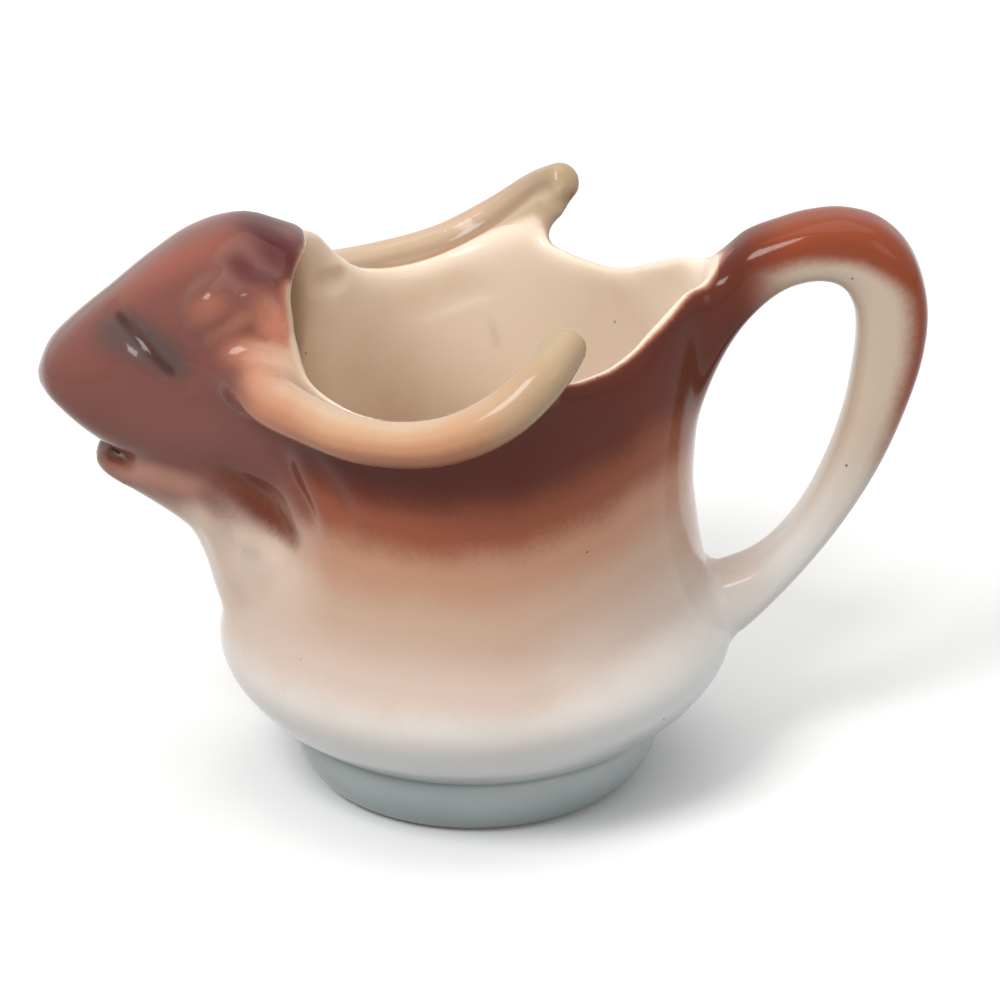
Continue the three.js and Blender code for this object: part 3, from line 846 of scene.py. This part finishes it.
def placeCamera():
    data = bpy.data.cameras.new("camera")
    data.sensor_width = view["sensor"]
    data.lens = view["scale"] * view["distance"] * data.sensor_width / view["picture"]
    camera = bpy.data.objects.new("camera", data)
    back = Vector((0, -math.cos(view["elevation"]), math.sin(view["elevation"])))
    turn = back.to_track_quat("Z", "Y").to_matrix().to_4x4()
    place = Matrix.Translation(toFrame @ (view["aim"] + back * view["distance"]))
    camera.matrix_world = place @ turn @ Matrix.Rotation(view["roll"], 4, "Z")
    data.clip_start, data.clip_end = view["clip"]
    bpy.context.scene.collection.objects.link(camera)
    bpy.context.scene.camera = camera


placeCamera()
bpy.context.scene.view_settings.view_transform = "Standard"


# Shader maths: a socket with arithmetic, and a bench that adds nodes
class Wire:
    def __init__(self, bench, socket):
        self.bench, self.socket = bench, socket

    def math(self, operation, first, second):
        return self.bench.add("ShaderNodeMath", {"operation": operation}, {0: first, 1: second})

    def __add__(self, other):
        return self.math("ADD", self, other)

    def __sub__(self, other):
        return self.math("SUBTRACT", self, other)

    def __rsub__(self, other):
        return self.math("SUBTRACT", other, self)

    def __mul__(self, other):
        return self.math("MULTIPLY", self, other)

    __radd__, __rmul__ = __add__, __mul__


class Bench:
    def __init__(self, tree):
        self.tree = tree

    def add(self, kind, settings=None, inputs=None, output=0):
        node = self.tree.nodes.new(kind)
        for key, value in (settings or {}).items():
            if key == "stops":
                self.setStops(node.color_ramp, value)
            else:
                setattr(node, key, value)
        for key, value in (inputs or {}).items():
            if isinstance(value, Wire):
                self.tree.links.new(value.socket, node.inputs[key])
            else:
                node.inputs[key].default_value = value
        return Wire(self, node.outputs[output])

    def setStops(self, ramp, stops):  # place and colour pairs
        ramp.interpolation = "EASE"
        for place, colour in stops[1:-1]:
            ramp.elements.new(place).color = colour
        for element, (place, colour) in zip((ramp.elements[0], ramp.elements[-1]), (stops[0], stops[-1])):
            element.position, element.color = place, colour

    def ramp(self, value, low, high, stops):  # colours at given values between low and high
        share = self.add("ShaderNodeMapRange", {}, {"Value": value, "From Min": low, "From Max": high})
        shares = [((place - low) / (high - low), colour) for place, colour in stops]
        return self.add("ShaderNodeValToRGB", {"stops": shares}, {0: share})

    def rise(self, value, start, end):
        return self.add("ShaderNodeMapRange", {"interpolation_type": "SMOOTHSTEP"},
                        {"Value": value, "From Min": start, "From Max": end})

    def blend(self, under, over, amount):
        return self.add("ShaderNodeMix", {"data_type": "RGBA"}, {0: amount, 6: under, 7: over}, 2)

    def noise(self, place, size, detail=2.0, roughness=0.5):
        return self.add("ShaderNodeTexNoise", {}, {"Vector": place, "Scale": 1 / size, "Detail": detail,
                                                   "Roughness": roughness})

    def mark(self, name):
        return self.add("ShaderNodeAttribute", {"attribute_name": name}, {}, 2)


def paintColour(r, g, b):
    return (r, g, b, 1)


# Glaze: sprayed underglaze colours on cream pottery, with some painted light and shade, named for what they cover;
# sizes in millimetres
glaze = {
    "ivory": paintColour(0.86, 0.715, 0.57),
    "ivoryShade": paintColour(0.76, 0.605, 0.455),
    "cream": paintColour(0.66, 0.51, 0.41),
    "handleCream": paintColour(0.56, 0.445, 0.345),
    "footGrey": paintColour(0.35, 0.40, 0.405),
    "footPale": paintColour(0.47, 0.51, 0.505),
    "bisque": paintColour(0.62, 0.55, 0.46),
    "white": paintColour(0.70, 0.68, 0.64),
    "chestnut": paintColour(0.26, 0.052, 0.018),
    "umber": paintColour(0.155, 0.04, 0.018),
    # painted shade colour, laid under the horns and in the modelled grooves
    "plum": paintColour(0.108, 0.014, 0.005),
    "rosewood": paintColour(0.18, 0.062, 0.047),
    "blush": paintColour(0.27, 0.080, 0.054),
    "mauve": paintColour(0.205, 0.078, 0.062),
    "violet": paintColour(0.085, 0.008, 0.007),
    "salmon": paintColour(0.44, 0.165, 0.10),
    "slate": paintColour(0.085, 0.056, 0.052),
    # partly dark paint, partly painted shade in the nostril slit
    "soot": paintColour(0.022, 0.016, 0.016),
    "rose": paintColour(0.36, 0.18, 0.135),
    # painted shade for the hollow of the head
    "tan": paintColour(0.46, 0.31, 0.19),
    "shade": paintColour(0.24, 0.145, 0.082),
    "speck": paintColour(0.06, 0.035, 0.025),
    "roughness": 0.13,
    "specular": 0.2,
    # heights of the body's colours, from the foot to the rim; the darker grey at the foot is partly the grey spray,
    # partly painted shade where the belly turns under
    "bodySpan": (11, 76),
    "body": (
        (11, paintColour(0.46, 0.49, 0.485)), (18, paintColour(0.69, 0.70, 0.69)), (25, paintColour(0.68, 0.635, 0.59)),
        (33, paintColour(0.59, 0.46, 0.38)), (43, paintColour(0.53, 0.36, 0.265)),
        (52.5, paintColour(0.48, 0.25, 0.16)), (60, paintColour(0.27, 0.072, 0.034)),
        (68, paintColour(0.12, 0.022, 0.009)), (76, paintColour(0.11, 0.021, 0.010)),
    ),
    # from the underside of the horn to its top, in shares of its thickness; partly the horns' own colours, partly
    # painted shade underneath and painted light on top
    "hornSpan": (-0.9, 1.1),
    "horn": (
        (-0.9, paintColour(0.22, 0.075, 0.038)), (-0.35, paintColour(0.36, 0.15, 0.082)),
        (0.15, paintColour(0.50, 0.245, 0.13)), (0.6, paintColour(0.54, 0.315, 0.185)),
        (1.1, paintColour(0.56, 0.41, 0.285)),
    ),
    "hornTip": paintColour(0.42, 0.32, 0.20),
    "sprays": ("blush", "mauve", "violet", "salmon", "slate", "soot", "rose", "cream", "umber", "plum"),
    "drift": (26, 2),  # noises: size, detail and roughness
    "cloud": (9, 3),
    "grain": (0.9, 2, 0.7),
    "wave": (5, 2),
    "ripple": (1.6, 1),
    "rippleShare": 0.12,
    "speckCell": 7.0,
    "speckShare": 0.8,
    "speckDepth": 0.5,
    "bump": {"Strength": 0.2, "Distance": 0.2 * mm},
    "wander": {"drift": 5, "cloud": 3, "grain": 2},  # how far the noises move the bands up and down
    "handleClimb": 6,  # the dark band climbs this far towards the handle
}
spans = {  # where each colour comes in, from none to full
    "towardHandle": (4, 34),
    "head": (-22, -34),
    "headHeight": (33, 46),
    "faceHeight": (47, 61),
    "spray": (0.02, 0.95),
    "grooveShade": (-0.35, -1.2),
    "loopWhite": (66, 36),
    "loopTop": (86, 99),
    "strap": (0.05, 0.78),
    "strapHeight": (50, 74),
    "root": (56, 43),
    "rootHeight": (58, 70),
    "loop": (42, 54),
    "hornRoot": (-22, -38),
    "hornTip": (-2, 14),
    "hornLow": (-1, -0.3),
    "hornInner": (0.9, 1.4),
    "horn": (0.15, 0.9),
    "hornStart": (-41, -34),
    "liningShade": (-0.05, 0.4),
    "headHollowShade": (-22, -33),
    "lip": (0.02, 0.4),
    "offHorn": (0.3, 0),
    "lining": (0.3, 0.95),
    "footPale": (2, 11),
    "footTop": (10.9, 11.3),
    "seamAbove": (11.6, 10.9),
    "seamBelow": (10.2, 10.9),
    "bareFoot": (0.1, 0.4),
    "speckEdge": (0.34, 0.16),
    "speckPick": (0.35, 0.5),
    "dull": (0.0, 0.4),
    "bareRough": (0.4, 0.1),
}


def makeGlaze():
    material = bpy.data.materials.new("sprayed_glaze_and_painted_light")
    material.use_nodes = True
    tree = material.node_tree
    shader = tree.nodes["Principled BSDF"]
    b = Bench(tree)

    def come(value, name):
        return b.rise(value, *spans[name])

    here = b.add("ShaderNodeTexCoord", {}, {}, 3)
    p = b.add("ShaderNodeVectorMath", {"operation": "MULTIPLY_ADD"},
              {0: here, 1: (1 / mm,) * 3, 2: (-axisX / mm, 0, 0)})
    x = b.add("ShaderNodeSeparateXYZ", {}, {0: p})
    z = Wire(b, x.socket.node.outputs[2])
    drift, cloud, grain = (b.noise(p, *glaze[n]) - 0.5 for n in ("drift", "cloud", "grain"))
    wander = glaze["wander"]
    height = z + drift * wander["drift"] + cloud * wander["cloud"] + grain * wander["grain"]
    inside, onHorn, hornRise, strap, relief = (b.mark(n) for n in ("inside", "onHorn", "hornRise", "strap", "relief"))
    # body, from the foot up
    colour = b.ramp(height - come(x, "towardHandle") * glaze["handleClimb"], *glaze["bodySpan"], glaze["body"])
    # head
    headward = come(x + cloud * 4, "head") * come(height, "headHeight")
    face = b.blend(glaze["cream"], glaze["rosewood"], come(height, "faceHeight"))
    colour = b.blend(colour, face, headward)
    for name in glaze["sprays"]:
        colour = b.blend(colour, glaze[name], come(b.mark(name) * (1 + cloud * 0.5 + grain * 0.3), "spray"))
    # painted shade: the modelled grooves are darkened
    colour = b.blend(colour, glaze["plum"], come(relief, "grooveShade") * 0.3)
    # handle
    loop = b.blend(glaze["handleCream"], glaze["white"], come(height, "loopWhite"))
    over = strap + come(z, "loopTop") * 0.7 + cloud * 0.25 + grain * 0.15
    loopBrown = come(over, "strap") * come(height, "strapHeight")
    rootBrown = come(x + cloud * 6, "root") * come(height, "rootHeight")
    brown = b.add("ShaderNodeMath", {"operation": "MAXIMUM"}, {0: loopBrown, 1: rootBrown})
    loop = b.blend(loop, glaze["chestnut"], brown)
    colour = b.blend(colour, loop, come(x + cloud * 4, "loop"))
    # horns
    # darker underneath and lighter on top: partly the horn's colours, partly painted shade and painted light
    hornColour = b.ramp(hornRise + cloud * 0.4 + grain * 0.15, *glaze["hornSpan"], glaze["horn"])
    hornColour = b.blend(hornColour, glaze["salmon"], come(x + cloud * 8, "hornRoot") * 0.7)
    tipShare = come(x + cloud * 8, "hornTip") * come(hornRise, "hornLow") * (0.8 - come(hornRise, "hornInner") * 0.45)
    hornColour = b.blend(hornColour, glaze["hornTip"], tipShare)
    colour = b.blend(colour, hornColour, come(onHorn + grain * 0.25, "horn") * come(x + cloud * 6, "hornStart"))
    # inside, with a salmon lip where the lining meets the colours outside, and painted shade deep in the head
    lining = b.blend(glaze["ivory"], glaze["ivoryShade"], come(drift + cloud * 0.6, "liningShade"))
    # painted shade deep in the head's hollow
    lining = b.blend(lining, glaze["tan"], come(x + cloud * 4, "headHollowShade") * 0.9)
    inward = inside + grain * 0.15
    colour = b.blend(colour, glaze["salmon"], come(inward, "lip") * come(onHorn, "offHorn") * 0.6)
    colour = b.blend(colour, lining, come(inward, "lining"))
    colour = b.blend(colour, glaze["shade"], b.mark("shade"))
    # foot
    band = b.blend(glaze["footGrey"], glaze["footPale"], come(drift * 8 + cloud * 4 + z, "footPale"))
    colour = b.blend(band, colour, come(z, "footTop"))
    colour = b.blend(colour, glaze["footGrey"], come(z, "seamAbove") * come(z, "seamBelow") * 0.7)
    colour = b.blend(glaze["bisque"], colour, come(z + cloud * 0.4, "bareFoot"))
    # pinholes and dust specks in the glaze
    cell = glaze["speckCell"]
    dots = b.add("ShaderNodeTexVoronoi", {}, {"Vector": p, "Scale": 1 / cell})
    pick = Wire(b, dots.socket.node.outputs["Color"])
    size = b.add("ShaderNodeSeparateColor", {}, {0: pick})
    holes = come(dots * cell, "speckEdge") * come(size, "speckPick")
    colour = b.blend(colour, glaze["speck"], holes * glaze["speckShare"])
    tree.links.new(colour.socket, shader.inputs["Base Color"])
    rough = glaze["roughness"] + come(cloud, "dull") * 0.06 + come(z, "bareRough") * 0.5 + holes * 0.3
    tree.links.new(rough.socket, shader.inputs["Roughness"])
    wave = b.noise(p, *glaze["wave"]) + b.noise(p, *glaze["ripple"]) * glaze["rippleShare"]
    wave = wave - holes * glaze["speckDepth"]
    bump = b.add("ShaderNodeBump", {}, {**glaze["bump"], "Height": wave})
    tree.links.new(bump.socket, shader.inputs["Normal"])
    shader.inputs["Specular IOR Level"].default_value = glaze["specular"]
    return material


glazeAndPaintedLight = makeGlaze()
stands = {
    "bowl_wall": ("vessel_body", "bowl_glaze"),
    "ox_head": ("head_spout", "head_glaze"),
    "near_horn": ("left_horn", "horn_glaze"),
    "far_horn": ("right_horn", "horn_glaze"),
    "handle_loop": ("handle", "handle_glaze"),
    "foot_band": ("foot_ring", "foot_glaze"),
}
for name, (node, slot) in stands.items():
    piece = pieces[name]
    piece.data.materials.clear()
    piece.data.materials.append(glazeAndPaintedLight)
    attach(piece, "root")
    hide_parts(node)
print("pieces glazed")

# Studio: pale floor, soft light, white surroundings
studio = {
    "floor": paintColour(0.93, 0.93, 0.92),
    "floorSize": 6,
    "floorShade": paintColour(0.45, 0.45, 0.45),  # what the floor gives back to the pottery
    "floorRoughness": 0.9,
    "floorSpecular": 0.1,
    "ambient": 0.62,
    "lamps": (  # place, power, size
        ((-0.45, -0.6, 0.9), 8, 0.42),
        ((0.15, 0.15, 1.2), 5, 1.1),
        ((0.75, -0.7, 0.45), 0.8, 0.4),
    ),
    "aim": Vector((0, 0, 0.05)),
}


def seenStraight(b):  # 1 where the camera, a reflection or a glass looks at the background
    most = b.add("ShaderNodeLightPath", {}, {}, "Is Camera Ray")
    rays = most.socket.node.outputs
    for name in ("Is Glossy Ray", "Is Transmission Ray"):
        most = b.add("ShaderNodeMath", {"operation": "MAXIMUM"}, {0: most, 1: Wire(b, rays[name])})
    return most


def makeStudio():
    bm = bmesh.new()
    bmesh.ops.create_grid(bm, x_segments=1, y_segments=1, size=studio["floorSize"] / 2)
    mesh = bpy.data.meshes.new("floor")
    bm.to_mesh(mesh)
    bm.free()
    floor = bpy.data.objects.new("floor", mesh)
    bpy.context.scene.collection.objects.link(floor)
    material = bpy.data.materials.new("pale_floor")
    material.use_nodes = True
    shader = material.node_tree.nodes["Principled BSDF"]
    b = Bench(material.node_tree)
    tint = b.blend(studio["floorShade"], studio["floor"], seenStraight(b))
    material.node_tree.links.new(tint.socket, shader.inputs["Base Color"])
    shader.inputs["Roughness"].default_value = studio["floorRoughness"]
    shader.inputs["Specular IOR Level"].default_value = studio["floorSpecular"]
    mesh.materials.append(material)
    world = bpy.data.worlds.new("studio")
    bpy.context.scene.world = world
    world.use_nodes = True
    b = Bench(world.node_tree)
    strength = seenStraight(b) * (1 - studio["ambient"]) + studio["ambient"]
    background = world.node_tree.nodes["Background"]
    background.inputs["Color"].default_value = paintColour(1, 1, 1)
    world.node_tree.links.new(strength.socket, background.inputs["Strength"])
    for number, (place, power, size) in enumerate(studio["lamps"]):
        data = bpy.data.lights.new("softbox" + str(number), "AREA")
        data.energy, data.size = power, size
        lamp = bpy.data.objects.new(data.name, data)
        turn = (Vector(place) - studio["aim"]).to_track_quat("Z", "Y").to_matrix().to_4x4()
        lamp.matrix_world = Matrix.Translation(place) @ turn
        bpy.context.scene.collection.objects.link(lamp)


makeStudio()
print("studio set")
